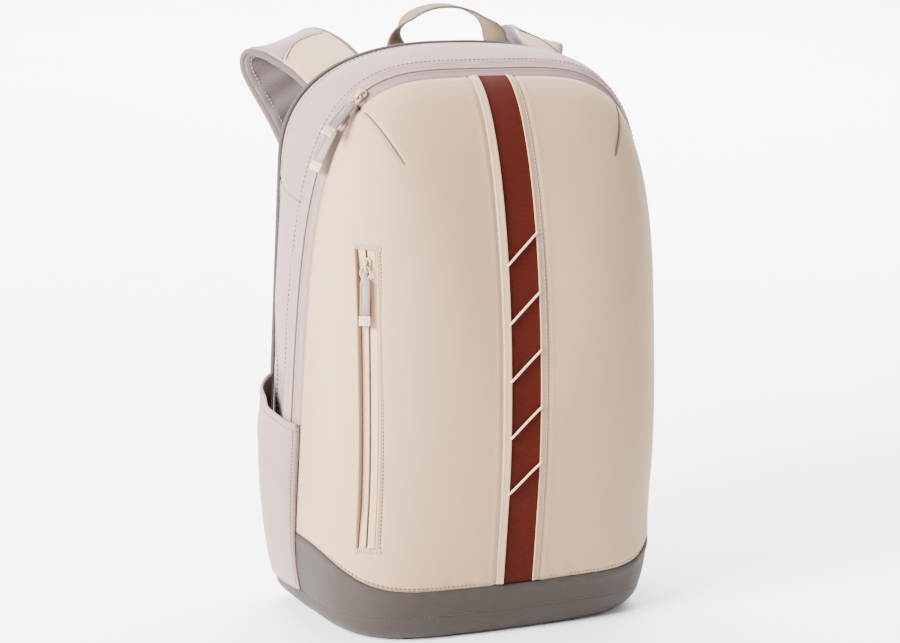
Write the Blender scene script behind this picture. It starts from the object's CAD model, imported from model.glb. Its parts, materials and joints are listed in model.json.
import json
import math

import bmesh
import bpy
import numpy as np
from mathutils import Matrix, Vector

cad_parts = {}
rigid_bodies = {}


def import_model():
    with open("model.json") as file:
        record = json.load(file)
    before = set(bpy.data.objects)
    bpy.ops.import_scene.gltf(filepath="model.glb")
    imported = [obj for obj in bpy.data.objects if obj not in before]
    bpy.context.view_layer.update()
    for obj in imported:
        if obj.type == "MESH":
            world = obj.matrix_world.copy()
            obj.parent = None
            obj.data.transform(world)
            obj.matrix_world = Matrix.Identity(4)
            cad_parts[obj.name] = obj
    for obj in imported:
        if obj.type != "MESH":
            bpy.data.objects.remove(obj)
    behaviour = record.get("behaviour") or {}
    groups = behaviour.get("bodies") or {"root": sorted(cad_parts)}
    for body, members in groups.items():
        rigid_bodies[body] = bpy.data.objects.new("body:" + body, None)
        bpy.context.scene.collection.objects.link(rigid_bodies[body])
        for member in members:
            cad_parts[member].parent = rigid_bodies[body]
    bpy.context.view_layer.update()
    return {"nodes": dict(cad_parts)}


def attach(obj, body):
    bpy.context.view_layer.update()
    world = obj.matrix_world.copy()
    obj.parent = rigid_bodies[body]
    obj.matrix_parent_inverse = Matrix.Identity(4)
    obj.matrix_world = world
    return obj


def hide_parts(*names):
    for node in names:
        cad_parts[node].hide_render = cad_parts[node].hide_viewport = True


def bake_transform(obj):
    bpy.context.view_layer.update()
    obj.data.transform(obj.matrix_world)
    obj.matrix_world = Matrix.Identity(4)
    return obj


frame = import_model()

MM = 0.001
SHELL, FLAP = "bag_shell", "front_flap"
FLAP_BEND = ((0.0, 0.0, 0.074), (0.0, 0.0, 0.115))

# ---------------------------------------------------------------- outline of the bag, in millimetres
FRONT_HALF_WIDTH, FRONT_TOP, FRONT_SHOULDER, FRONT_POWER = 157.0, 453.5, 119.0, 4.37
SEAM_LEAN = 0.02
BACK_HALF_WIDTH, BACK_TOP, BACK_SHOULDER, BACK_POWER, BACK_Y = 154.0, 471.0, 375.0, 2.5, 58.0
TUCK_START, TUCK_SPAN, TUCK_POWER = 119.0, 149.0, 4.0
DOME_DEPTH, DOME_CENTRE = 102.0, 110.0
DOME_TOP_POWER, DOME_SIDE_POWER, DOME_LOW_POWER = 1.7, 3.4, 6.0
TRAY_HEIGHT, TRAY_INSET, TRAY_CENTRE_Y, TRAY_BACK_Y = 22.0, 0.18, -15.0, 61.0
WALL_FOOT = TRAY_HEIGHT + 0.9
BASE_SEAM_MIDDLE, BASE_SEAM_RISE, BASE_SEAM_POWER = 44.7, 29.0, 8
ZIP_FOOT = 168.0
GUSSET_OFFSET, GUSSET_OFFSET_LOW, GUSSET_SPLIT = 13.9, -0.4, 350.0
GUSSET_BULGE, GUSSET_HOLLOW, GUSSET_ROW = 5.0, -3.0, 0.81
BEVEL = math.sqrt(0.5)
POCKET_FRONT_MOUTH, POCKET_BACK_MOUTH, POCKET_BULGE = 166.0, 195.0, 20.5
STRIPE_HALF, CHANNEL_INNER, CHANNEL_OUTER = 14.0, 14.6, 20.5
LACE_COUNT, LACE_FIRST, LACE_STEP, LACE_RISE = 5, 322.7, 46.6, 24.0
SLOT_X, SLOT_TOP, SLOT_BOTTOM, SLOT_HALF = -131.0, 325.0, 82.0, 6.0
SLIDER_START = 13.0
DARTS = (((-116.0, 426.0), (-97.0, 390.0)), ((116.0, 426.0), (97.0, 390.0)))

# ---------------------------------------------------------------- small sums


def blend(low, high, share):
    return low + (high - low) * share


def smooth(low, high, value):
    share = np.clip((value - low) / (high - low), 0.0, 1.0)
    return share * share * (3.0 - 2.0 * share)


def bump_at(value, centre, width):
    return np.exp(-((value - centre) / width) ** 2)


def unit(vectors):
    size = np.linalg.norm(vectors, axis=-1, keepdims=True)
    return vectors / np.maximum(size, 1e-9)


def stack(x, y, z):
    return np.stack(np.broadcast_arrays(x, y, z), axis=-1).astype(float)


def resample(points, step):
    """Even steps along a polyline, and the direction at each."""
    points = np.asarray(points, float)
    lengths = np.concatenate([[0.0], np.cumsum(np.linalg.norm(np.diff(points, axis=0), axis=1))])
    count = max(int(round(lengths[-1] / step)), 2)
    goal = np.linspace(0.0, lengths[-1], count + 1)
    out = np.stack([np.interp(goal, lengths, points[:, i]) for i in range(3)], axis=1)
    return out, unit(np.gradient(out, axis=0))


# ---------------------------------------------------------------- body shape

def tuck(z):
    drop = np.clip((TUCK_START - z) / TUCK_SPAN, 0.0, 0.999)
    return (1.0 - drop ** TUCK_POWER) ** (1.0 / TUCK_POWER)


class Arch:
    """An outline in X and Z, walked by the share of its length from the top centre."""

    def __init__(self, half_width, shoulder, top, power):
        angle = np.linspace(0.0, math.pi / 2.0, 241)
        x = half_width * np.sin(angle) ** (2.0 / power)
        z = shoulder + (top - shoulder) * np.maximum(np.cos(angle), 0.0) ** (2.0 / power)
        low = np.linspace(shoulder, WALL_FOOT, 61)[1:]
        self.x = np.concatenate([x * tuck(z), half_width * tuck(low)])
        self.z = np.concatenate([z, low])
        self.walked = np.concatenate([[0.0], np.cumsum(np.hypot(np.diff(self.x), np.diff(self.z)))])
        self.length = self.walked[-1]

    def at(self, share):
        goal = np.minimum(np.abs(share), 1.0) * self.length
        x = np.interp(goal, self.walked, self.x)
        return np.copysign(x, share), np.interp(goal, self.walked, self.z)

    def outward(self, share):
        before = self.at(np.maximum(share - 0.006, -1.0))
        after = self.at(np.minimum(share + 0.006, 1.0))
        dx, dz = after[0] - before[0], after[1] - before[1]
        size = np.hypot(dx, dz)
        return -dz / size, dx / size

    def share_at(self, z):
        return float(np.interp(-z, -self.z, self.walked) / self.length)


FRONT_ARCH = Arch(FRONT_HALF_WIDTH, FRONT_SHOULDER, FRONT_TOP, FRONT_POWER)
BACK_ARCH = Arch(BACK_HALF_WIDTH, BACK_SHOULDER, BACK_TOP, BACK_POWER)


def seam_y(z):
    return -SEAM_LEAN * z


def front_edge_height(x):
    share = np.minimum(np.abs(x) / FRONT_HALF_WIDTH, 1.0)
    return FRONT_SHOULDER + (FRONT_TOP - FRONT_SHOULDER) * (1.0 - share ** FRONT_POWER) ** (1.0 / FRONT_POWER)


def inside_front(x, z):
    wide = np.abs(x) / FRONT_HALF_WIDTH
    rise = np.maximum(z - FRONT_SHOULDER, 0.0) / (FRONT_TOP - FRONT_SHOULDER)
    drop = np.maximum(TUCK_START - z, 0.0) / TUCK_SPAN
    upper = wide ** FRONT_POWER + rise ** FRONT_POWER
    return np.where(z >= FRONT_SHOULDER, upper, wide ** TUCK_POWER + drop ** TUCK_POWER)


def dome_reach(x, z):
    """Distance from the dome's centre, and the outline's distance on the same ray."""
    x, z = np.broadcast_arrays(np.asarray(x, float), np.asarray(z, float))
    reach = np.maximum(np.hypot(x, z - DOME_CENTRE), 1e-6)
    low, high = np.zeros_like(reach), np.full_like(reach, 4.0)
    for _ in range(34):
        middle = (low + high) / 2.0
        size = FRONT_HALF_WIDTH * middle
        inner = inside_front(x / reach * size, DOME_CENTRE + (z - DOME_CENTRE) / reach * size) < 1.0
        low, high = np.where(inner, middle, low), np.where(inner, high, middle)
    return reach, low * FRONT_HALF_WIDTH


def dome_y(x, z):
    reach, limit = dome_reach(x, z)
    share = np.minimum(reach / limit, 1.0)
    slope = (z - DOME_CENTRE) / reach
    power = blend(DOME_SIDE_POWER, np.where(slope > 0.0, DOME_TOP_POWER, DOME_LOW_POWER), slope * slope)
    return seam_y(z) - DOME_DEPTH * (1.0 - share ** power) ** (1.0 / power)


def dome_normal(x, z):
    step = 0.5
    side = (dome_y(x + step, z) - dome_y(x - step, z)) / (2.0 * step)
    rise = (dome_y(x, z + step) - dome_y(x, z - step)) / (2.0 * step)
    return unit(stack(side, -1.0, rise))


def on_dome(x, z, lift=0.0):
    place = stack(x, dome_y(x, z), z)
    return place + dome_normal(x, z) * np.asarray(lift, float)[..., None]


def base_seam(x):
    return BASE_SEAM_MIDDLE + BASE_SEAM_RISE * np.minimum(np.abs(x) / FRONT_HALF_WIDTH, 1.0) ** BASE_SEAM_POWER


def strip_normal(share):
    nx, nz = FRONT_ARCH.outward(share)
    return stack(nx * BEVEL, -BEVEL, nz * BEVEL)


def strip_point(share, reach, lift=0.0):
    """A point of the main zip's bevelled strip, out from the front seam."""
    x, z = FRONT_ARCH.at(share)
    nx, nz = FRONT_ARCH.outward(share)
    place = stack(x + nx * reach * BEVEL, seam_y(z) + reach * BEVEL, z + nz * reach * BEVEL)
    return place + strip_normal(share) * np.asarray(lift, float)[..., None]


def gusset_point(share, v, lift=0.0):
    z = FRONT_ARCH.at(share)[1]
    reach = blend(GUSSET_OFFSET_LOW, GUSSET_OFFSET, smooth(ZIP_FOOT - 30.0, ZIP_FOOT - 4.0, z))
    front = strip_point(share, reach)
    back_x, back_z = BACK_ARCH.at(share)
    back = stack(back_x, BACK_Y, back_z)
    nx, nz = BACK_ARCH.outward(share)
    out = stack(nx, 0.0, nz)
    swell = blend(GUSSET_HOLLOW, GUSSET_BULGE, smooth(180.0, 260.0, z)) * np.sin(math.pi * v)
    place = front + (back - front) * np.asarray(v, float)[..., None] + out * (swell + lift)[..., None]
    place[..., 2] = np.maximum(place[..., 2], WALL_FOOT)
    return place


# ---------------------------------------------------------------- meshes

def make_mesh(name, verts, faces, uvs=None):
    """An object from points in millimetres, with the cloth's own coordinates as its UV map."""
    data = bpy.data.meshes.new(name)
    data.from_pydata((np.asarray(verts, float) * MM).tolist(), [], faces)
    data.validate()
    item = bpy.data.objects.new(name, data)
    bpy.context.scene.collection.objects.link(item)
    layer = data.uv_layers.new(name="thread")
    if uvs is None:
        uvs = np.asarray(verts, float)[:, (0, 2)]
    flat = np.asarray(uvs, float) * MM
    index = np.zeros(len(data.loops), np.int32)
    data.loops.foreach_get("vertex_index", index)
    layer.data.foreach_set("uv", flat[index].ravel().astype(np.float32))
    data.polygons.foreach_set("use_smooth", [True] * len(data.polygons))
    return item


def grid_parts(points, wrap=False):
    rows, columns = points.shape[:2]
    across = np.linalg.norm(np.diff(points, axis=1), axis=2)
    along = np.linalg.norm(np.diff(points, axis=0), axis=2)
    u = np.concatenate([np.zeros((rows, 1)), np.cumsum(across, axis=1)], axis=1)
    v = np.concatenate([np.zeros((1, columns)), np.cumsum(along, axis=0)], axis=0)
    u -= u[:, columns // 2][:, None]
    faces = []
    last = columns if wrap else columns - 1
    for row in range(rows - 1):
        for column in range(last):
            right = (column + 1) % columns
            faces.append((row * columns + column, row * columns + right,
                          (row + 1) * columns + right, (row + 1) * columns + column))
    return points.reshape(-1, 3), faces, np.stack([u, v], axis=-1).reshape(-1, 2)


def grid(name, points, wrap=False, centre=(0.0, -15.0, 230.0)):
    """A sheet through a table of points, its faces turned away from a centre."""
    verts, faces, uvs = grid_parts(points, wrap)
    item = make_mesh(name, verts, faces, uvs)
    return turn_out(item, centre)


def turn_out(item, centre):
    total = 0.0
    middle = Vector(centre) * MM
    for face in item.data.polygons:
        total += face.area * face.normal.dot((face.center - middle).normalized())
    if total < 0.0:
        item.data.flip_normals()
    return item


def thicken(item, thickness, inner=None):
    """Gives a sheet its thickness on the inside, and its lining's material there."""
    change = item.modifiers.new("thickness", "SOLIDIFY")
    change.thickness = thickness * MM
    change.offset = -1.0
    change.use_even_offset = False
    if inner is not None:
        item.data.materials.append(inner)
        change.material_offset = 1
    return item


def closed(name, verts, faces, uvs=None):
    """A closed body, with its faces turned outward."""
    item = make_mesh(name, verts, faces, uvs)
    work = bmesh.new()
    work.from_mesh(item.data)
    bmesh.ops.recalc_face_normals(work, faces=work.faces)
    work.to_mesh(item.data)
    work.free()
    return item


def sweep_parts(route, wide, out, profile, widths=1.0, base=0, capped=True):
    """A closed profile of (across, out) pairs carried along a route."""
    profile = np.asarray(profile, float)
    route, wide, out = (np.asarray(part, float) for part in (route, wide, out))
    widths = np.broadcast_to(widths, (len(route),))
    rings = (route[:, None, :] + wide[:, None, :] * (profile[None, :, 0:1] * widths[:, None, None])
             + out[:, None, :] * profile[None, :, 1:2])
    verts, faces, uvs = grid_parts(rings, wrap=True)
    count = len(profile)
    faces = [tuple(base + i for i in face) for face in faces]
    if capped:
        faces.append(tuple(base + i for i in range(count))[::-1])
        end = (len(route) - 1) * count
        faces.append(tuple(base + end + i for i in range(count)))
    return verts, faces, uvs


def sweep(name, route, wide, out, profile, widths=1.0):
    verts, faces, uvs = sweep_parts(route, wide, out, profile, widths)
    return closed(name, verts, faces, uvs)


def round_profile(radius, sides=10, flat=1.0):
    angle = np.linspace(0.0, 2.0 * math.pi, sides, endpoint=False)
    return np.stack([radius * np.cos(angle), radius * flat * np.sin(angle)], axis=1)


def band_profile(thickness, edge=0.04, crown=0.0, steps=9):
    """A flat band one unit wide, with rounded edges and a crowned top."""
    share = np.linspace(-0.5 + edge, 0.5 - edge, steps)
    top = thickness / 2.0 + crown * (1.0 - (2.0 * share) ** 2)
    bottom = np.full(steps, -thickness / 2.0)
    right = [(0.5 - edge * 0.3, thickness * 0.32), (0.5, 0.0), (0.5 - edge * 0.3, -thickness * 0.32)]
    left = [(-0.5 + edge * 0.3, -thickness * 0.32), (-0.5, 0.0), (-0.5 + edge * 0.3, thickness * 0.32)]
    return np.array([*zip(share, top), *right, *zip(share[::-1], bottom), *left])


def cross_frames(route, out_hint):
    """Width and outward directions along a route, from a rough outward direction."""
    along = unit(np.gradient(route, axis=0))
    out = np.broadcast_to(np.asarray(out_hint, float), route.shape)
    out = unit(out - along * np.sum(out * along, axis=1, keepdims=True))
    return np.cross(along, out), out


def tube(name, route, radius, out_hint=(0.0, -1.0, 0.01), sides=10, flat=1.0):
    route = np.asarray(route, float)
    wide, out = cross_frames(route, out_hint)
    return sweep(name, route, wide, out, round_profile(radius, sides, flat))


def ridged_cord(name, route, radius, pitch, out_hint):
    """A zip's row of teeth: a cord with one ridge for each tooth."""
    route, _ = resample(route, pitch / 2.0)
    wide, out = cross_frames(route, out_hint)
    swell = np.where(np.arange(len(route)) % 2 == 0, 1.0, 0.62)
    profile = round_profile(radius, 7)
    rings = (route[:, None, :] + wide[:, None, :] * profile[None, :, 0:1] * swell[:, None, None]
             + out[:, None, :] * profile[None, :, 1:2] * swell[:, None, None])
    verts, faces, uvs = grid_parts(rings, wrap=True)
    count = len(profile)
    end = (len(route) - 1) * count
    faces += [tuple(range(count))[::-1], tuple(end + i for i in range(count))]
    return closed(name, verts, faces, uvs)


def stitches(name, rows, length=2.7, gap=1.3, radius=0.42, lift=0.15, slant=0.0):
    """Rows of single stitches. A row is its points and their outward directions."""
    verts, faces = [], []
    shape = ((-0.5, 0.25), (-0.3, 0.95), (0.3, 0.95), (0.5, 0.25))
    for points, outward in rows:
        route, along = resample(points, length + gap)
        source = np.linspace(0.0, 1.0, len(points))
        goal = np.linspace(0.0, 1.0, len(route))
        outward = np.stack([np.interp(goal, source, np.asarray(outward)[:, i]) for i in range(3)], axis=1)
        outward = unit(outward - along * np.sum(outward * along, axis=1, keepdims=True))
        wide = np.cross(along, outward)
        along = unit(along + wide * slant)
        wide = np.cross(along, outward)
        for place, way, side, out in zip(route, along, wide, outward):
            base = len(verts)
            for share, swell in shape:
                for corner in range(5):
                    angle = 2.0 * math.pi * corner / 5
                    verts.append(place + way * share * length + out * (lift + radius * swell * math.sin(angle))
                                 + side * radius * swell * math.cos(angle))
            for ring in range(3):
                for corner in range(5):
                    after = (corner + 1) % 5
                    faces.append((base + ring * 5 + corner, base + ring * 5 + after,
                                  base + ring * 5 + 5 + after, base + ring * 5 + 5 + corner))
            faces.append(tuple(base + i for i in range(5))[::-1])
            faces.append(tuple(base + 15 + i for i in range(5)))
    return closed(name, verts, faces)


def framed(name, maker, turn):
    """A small part made in its own frame, in millimetres, then put in place."""
    work = bmesh.new()
    maker(work)
    bmesh.ops.transform(work, matrix=turn, verts=work.verts)
    bmesh.ops.recalc_face_normals(work, faces=work.faces)
    data = bpy.data.meshes.new(name)
    bmesh.ops.scale(work, vec=(MM, MM, MM), verts=work.verts)
    work.to_mesh(data)
    work.free()
    item = bpy.data.objects.new(name, data)
    bpy.context.scene.collection.objects.link(item)
    data.polygons.foreach_set("use_smooth", [True] * len(data.polygons))
    return item


def soft_block(work, size, centre, bevel, segments=3):
    """A block with rounded edges."""
    made = bmesh.ops.create_cube(work, size=1.0)
    for vertex in made["verts"]:
        vertex.co = Vector([vertex.co[i] * size[i] + centre[i] for i in range(3)])
    edges = list({edge for vertex in made["verts"] for edge in vertex.link_edges})
    bmesh.ops.bevel(work, geom=edges, offset=bevel, segments=segments, profile=0.7, affect="EDGES")


def tapered_block(work, outline, low, high, bevel):
    """A slab with a given outline in X and Y and rounded edges."""
    lower = [work.verts.new((x, y, low)) for x, y in outline]
    upper = [work.verts.new((x, y, high)) for x, y in outline]
    faces = [work.faces.new(upper), work.faces.new(lower[::-1])]
    for index in range(len(outline)):
        after = (index + 1) % len(outline)
        faces.append(work.faces.new((lower[index], lower[after], upper[after], upper[index])))
    edges = list({edge for face in faces for edge in face.edges})
    bmesh.ops.bevel(work, geom=edges, offset=bevel, segments=3, profile=0.7, affect="EDGES")


def loop_cord(work, path, radius, around=8, flat=1.0):
    """A closed wire along a path in the XY plane."""
    count = len(path)
    rings = []
    for index in range(count):
        here = Vector(path[index])
        along = (Vector(path[(index + 1) % count]) - Vector(path[index - 1])).normalized()
        side = along.cross(Vector((0.0, 0.0, 1.0)))
        ring = []
        for corner in range(around):
            angle = 2.0 * math.pi * corner / around
            ring.append(work.verts.new(here + side * radius * math.cos(angle)
                                       + Vector((0.0, 0.0, radius * flat * math.sin(angle)))))
        rings.append(ring)
    for index in range(count):
        after = rings[(index + 1) % count]
        for corner in range(around):
            other = (corner + 1) % around
            work.faces.new((rings[index][corner], rings[index][other], after[other], after[corner]))


def pillow(name, outline, face_y, height, edge=10.0, rings=8, channel=None, power=2.2):
    """A crowned pad on the back: its outline lies at face_y and its middle stands off it."""
    outline = np.asarray(outline, float)
    middle = outline.mean(axis=0)
    reach = np.linalg.norm(outline - middle, axis=1)
    verts, faces = [], []
    count = len(outline)
    steps = [1.0 - math.sin(math.pi / 2.0 * ring / rings) * min(edge / reach.min(), 0.9) for ring in range(rings + 1)]
    inner = steps[-1]
    steps += [inner * share for share in np.linspace(1.0, 0.0, 14)[1:-1]]
    for share in steps:
        depth = np.clip((1.0 - share) * reach / edge, 0.0, 1.0)
        rise = height * (1.0 - (1.0 - depth) ** power) ** (1.0 / power)
        places = middle + (outline - middle) * share
        if channel is not None:
            rise = rise * channel(places)
        verts.extend(stack(places[:, 0], face_y + rise, places[:, 1]))
    peak = height * (channel(middle[None, :])[0] if channel is not None else 1.0)
    verts.append(np.array((middle[0], face_y + peak, middle[1])))
    for ring in range(len(steps) - 1):
        for index in range(count):
            after = (index + 1) % count
            faces.append((ring * count + index, ring * count + after,
                          (ring + 1) * count + after, (ring + 1) * count + index))
    last = (len(steps) - 1) * count
    for index in range(count):
        faces.append((last + index, last + (index + 1) % count, len(verts) - 1))
    faces.append(tuple(range(count)))
    return closed(name, verts, faces)


# ---------------------------------------------------------------- materials

class Nodes:
    """Short ways to add and join shader nodes."""

    def __init__(self, name):
        self.material = bpy.data.materials.new(name)
        self.material.use_nodes = True
        self.tree = self.material.node_tree
        self.shader = next(node for node in self.tree.nodes if node.type == "BSDF_PRINCIPLED")
        self.objects = self.add("ShaderNodeTexCoord").outputs["Object"]
        self.threads = self.add("ShaderNodeUVMap", uv_map="thread").outputs["UV"]

    def add(self, kind, **values):
        node = self.tree.nodes.new(kind)
        for key, value in values.items():
            setattr(node, key, value)
        return node

    def join(self, output, socket):
        self.tree.links.new(output, socket)

    def noise(self, scale, detail=3.0, source=None, stretch=None):
        source = source or self.objects
        if stretch is not None:
            mapping = self.add("ShaderNodeMapping")
            mapping.inputs["Scale"].default_value = stretch
            self.join(source, mapping.inputs["Vector"])
            source = mapping.outputs["Vector"]
        node = self.add("ShaderNodeTexNoise")
        node.inputs["Scale"].default_value = scale
        node.inputs["Detail"].default_value = detail
        self.join(source, node.inputs["Vector"])
        return node.outputs["Fac"]

    def wave(self, pitch, direction, source=None):
        node = self.add("ShaderNodeTexWave", bands_direction=direction)
        node.inputs["Scale"].default_value = 0.314 / pitch
        self.join(source or self.threads, node.inputs["Vector"])
        return node.outputs["Fac"]

    def sums(self, kind, first, second):
        node = self.add("ShaderNodeMath", operation=kind)
        for socket, value in zip(node.inputs, (first, second)):
            if isinstance(value, (int, float)):
                socket.default_value = value
            else:
                self.join(value, socket)
        return node.outputs["Value"]

    def ramp(self, source, stops):
        node = self.add("ShaderNodeValToRGB")
        ramp = node.color_ramp
        while len(ramp.elements) < len(stops):
            ramp.elements.new(0.5)
        for element, (place, colour) in zip(ramp.elements, stops):
            element.position = place
            element.color = (*colour, 1.0)
        self.join(source, node.inputs["Fac"])
        return node.outputs["Color"]

    def bump(self, height, distance, strength=1.0, below=None):
        node = self.add("ShaderNodeBump")
        node.inputs["Distance"].default_value = distance
        node.inputs["Strength"].default_value = strength
        self.join(height, node.inputs["Height"])
        if below is not None:
            self.join(below, node.inputs["Normal"])
        return node.outputs["Normal"]


def shade(colour, share):
    return tuple(min(part * share, 1.0) for part in colour)


def cloth(name, colour, rough=0.8, pitch=0.0006, depth=0.00010, spread=0.06, grain=0.00012, sheen=0.08,
          ribs=None, soft=0.0006, gloss=0.25):
    """Woven cloth: threads both ways, uneven dye, fine grain and slight rumples."""
    nodes = Nodes(name)
    patches = nodes.noise(14.0, 4.0)
    flecks = nodes.noise(900.0, 2.0)
    mixed = nodes.sums("ADD", nodes.sums("MULTIPLY", patches, 0.75), nodes.sums("MULTIPLY", flecks, 0.25))
    tint = nodes.ramp(mixed, ((0.30, shade(colour, 1.0 - spread)), (0.55, colour), (0.78, shade(colour, 1.0 + spread))))
    nodes.join(tint, nodes.shader.inputs["Base Color"])
    if ribs is None:
        weave = nodes.sums("ADD", nodes.wave(pitch, "X"), nodes.wave(pitch, "Y"))
    else:
        weave = nodes.sums("ADD", nodes.wave(ribs, "Y"), nodes.sums("MULTIPLY", nodes.wave(pitch, "X"), 0.5))
    surface = nodes.bump(nodes.noise(30.0, 3.0), soft)
    surface = nodes.bump(nodes.noise(1400.0, 2.0), grain, 0.6, surface)
    surface = nodes.bump(weave, depth, 0.8, surface)
    nodes.join(surface, nodes.shader.inputs["Normal"])
    roughness = nodes.add("ShaderNodeMapRange")
    roughness.inputs["To Min"].default_value = rough - 0.07
    roughness.inputs["To Max"].default_value = rough + 0.07
    nodes.join(nodes.noise(40.0), roughness.inputs["Value"])
    nodes.join(roughness.outputs["Result"], nodes.shader.inputs["Roughness"])
    nodes.shader.inputs["Sheen Weight"].default_value = sheen
    nodes.shader.inputs["Sheen Roughness"].default_value = 0.5
    nodes.shader.inputs["Specular IOR Level"].default_value = gloss
    return nodes.material


def air_mesh(name, colour, dark, size=0.0024):
    """Spacer mesh: rows of small round holes in a knitted cloth."""
    nodes = Nodes(name)
    cells = nodes.add("ShaderNodeTexVoronoi")
    cells.inputs["Scale"].default_value = 1.0 / size
    cells.inputs["Randomness"].default_value = 0.15
    nodes.join(nodes.threads, cells.inputs["Vector"])
    distance = cells.outputs["Distance"]
    tint = nodes.ramp(distance, ((0.20, dark), (0.34, colour), (0.75, shade(colour, 1.12))))
    nodes.join(tint, nodes.shader.inputs["Base Color"])
    surface = nodes.bump(nodes.noise(25.0), 0.0008)
    surface = nodes.bump(distance, 0.0005, 0.8, surface)
    nodes.join(surface, nodes.shader.inputs["Normal"])
    nodes.shader.inputs["Roughness"].default_value = 0.9
    nodes.shader.inputs["Sheen Weight"].default_value = 0.15
    return nodes.material


def hard(name, colour, rough=0.45, metal=0.0, grain=0.00008, spread=0.05, scale=600.0):
    """Moulded plastic, rubber or enamelled metal with fine grain and handling marks."""
    nodes = Nodes(name)
    marks = nodes.noise(60.0, 5.0)
    tint = nodes.ramp(marks, ((0.35, shade(colour, 1.0 - spread)), (0.6, colour), (0.8, shade(colour, 1.0 + spread))))
    nodes.join(tint, nodes.shader.inputs["Base Color"])
    nodes.join(nodes.bump(nodes.noise(scale, 2.0), grain, 0.7), nodes.shader.inputs["Normal"])
    roughness = nodes.add("ShaderNodeMapRange")
    roughness.inputs["To Min"].default_value = rough - 0.08
    roughness.inputs["To Max"].default_value = rough + 0.1
    nodes.join(marks, roughness.inputs["Value"])
    nodes.join(roughness.outputs["Result"], nodes.shader.inputs["Roughness"])
    nodes.shader.inputs["Metallic"].default_value = metal
    return nodes.material


CREAM = (0.345, 0.228, 0.138)
LILAC = (0.235, 0.160, 0.150)
BASE_GREY = (0.030, 0.0222, 0.0188)
RED = (0.046, 0.0046, 0.0018)
IVORY = (0.13, 0.087, 0.055)

M = {
    "cream": cloth("cream_cloth", CREAM, 0.62, 0.0005, 0.00004, 0.03, 0.00007, 0.03, soft=0.0005),
    "lilac": cloth("lilac_cloth", LILAC, 0.72, 0.0005, 0.00006, 0.035, 0.00008, 0.08, soft=0.0009),
    "lilac_tape": cloth("lilac_tape_cloth", shade(LILAC, 1.04), 0.8, 0.0007, 0.0001, 0.04, ribs=0.0009),
    "strap_edge": cloth("strap_edge_cloth", (0.075, 0.053, 0.049), 0.8, 0.0007, 0.0001, 0.05, ribs=0.0009),
    "welt": cloth("welt_cloth", shade(CREAM, 1.3), 0.75, 0.0006, 0.00012, 0.04, ribs=0.0009),
    "base": cloth("base_cloth", BASE_GREY, 0.7, 0.0006, 0.00008, 0.05, sheen=0.05, soft=0.0007),
    "red": cloth("red_cloth", RED, 0.86, 0.0006, 0.00022, 0.16, ribs=0.0010, sheen=0.0, gloss=0.1),
    "ivory": cloth("ivory_webbing_cloth", IVORY, 0.84, 0.0011, 0.00022, 0.05, ribs=0.0013),
    "lining": cloth("lining_cloth", (0.05, 0.043, 0.043), 0.75, 0.0006, 0.00008, 0.1),
    "under_mesh": air_mesh("strap_mesh", (0.07, 0.05, 0.048), (0.026, 0.019, 0.019), 0.0016),
    "back_mesh": air_mesh("back_air_mesh", (0.13, 0.10, 0.098), (0.03, 0.024, 0.025), 0.0026),
    "piping": cloth("piping_cloth", (0.05, 0.036, 0.034), 0.7, 0.0006, 0.00012, 0.08),
    "cord": cloth("cord_cloth", (0.70, 0.52, 0.36), 0.8, 0.0007, 0.0003, 0.06, ribs=0.0009),
    "thread_cream": cloth("cream_thread", (0.55, 0.41, 0.29), 0.7, 0.0003, 0.0001, 0.08),
    "thread_lilac": cloth("lilac_thread", (0.06, 0.04, 0.037), 0.7, 0.0003, 0.0001, 0.08),
    "thread_dark": cloth("dark_thread", (0.06, 0.035, 0.024), 0.7, 0.0003, 0.0001, 0.08),
    "teeth": hard("coil_teeth", (0.25, 0.19, 0.17), 0.5),
    "slider": hard("enamelled_slider", (0.36, 0.25, 0.165), 0.38, 0.0),
    "rubber": hard("puller_rubber_skin", (0.15, 0.102, 0.094), 0.5, grain=0.00012),
    "tip": hard("puller_tip_skin", (0.40, 0.275, 0.185), 0.5),
    "buckle": hard("buckle_skin", (0.07, 0.055, 0.055), 0.42),
    "board": hard("board_skin", (0.06, 0.06, 0.06), 0.55, scale=250.0),
}


def place(item, material, body=None, slot=None, stands_for=(), bend=None):
    """Gives a piece its material and says what it moves with and stands for."""
    look = M[material]
    if item.data.materials:
        item.data.materials[0] = look
    else:
        item.data.materials.append(look)
    if bend is None:
        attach(item, body)
    else:
        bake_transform(item)
    if stands_for:
        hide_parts(*stands_for)
    return item


def lined(item, thickness, outer, inner="lining"):
    item.data.materials.append(M[outer])
    return thicken(item, thickness, M[inner])


ON_FLAP = (SHELL, FLAP, *FLAP_BEND)

# ---------------------------------------------------------------- front flap


def slot_sink(z):
    """How far the pocket's straight zip lies behind the domed panel at a height."""
    top = dome_y(SLOT_X, SLOT_TOP)
    bottom = dome_y(SLOT_X, SLOT_BOTTOM)
    chord = blend(bottom, top, (z - SLOT_BOTTOM) / (SLOT_TOP - SLOT_BOTTOM))
    return np.clip(chord - dome_y(SLOT_X + 0.0 * z, z), 0.0, 2.6)


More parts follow.
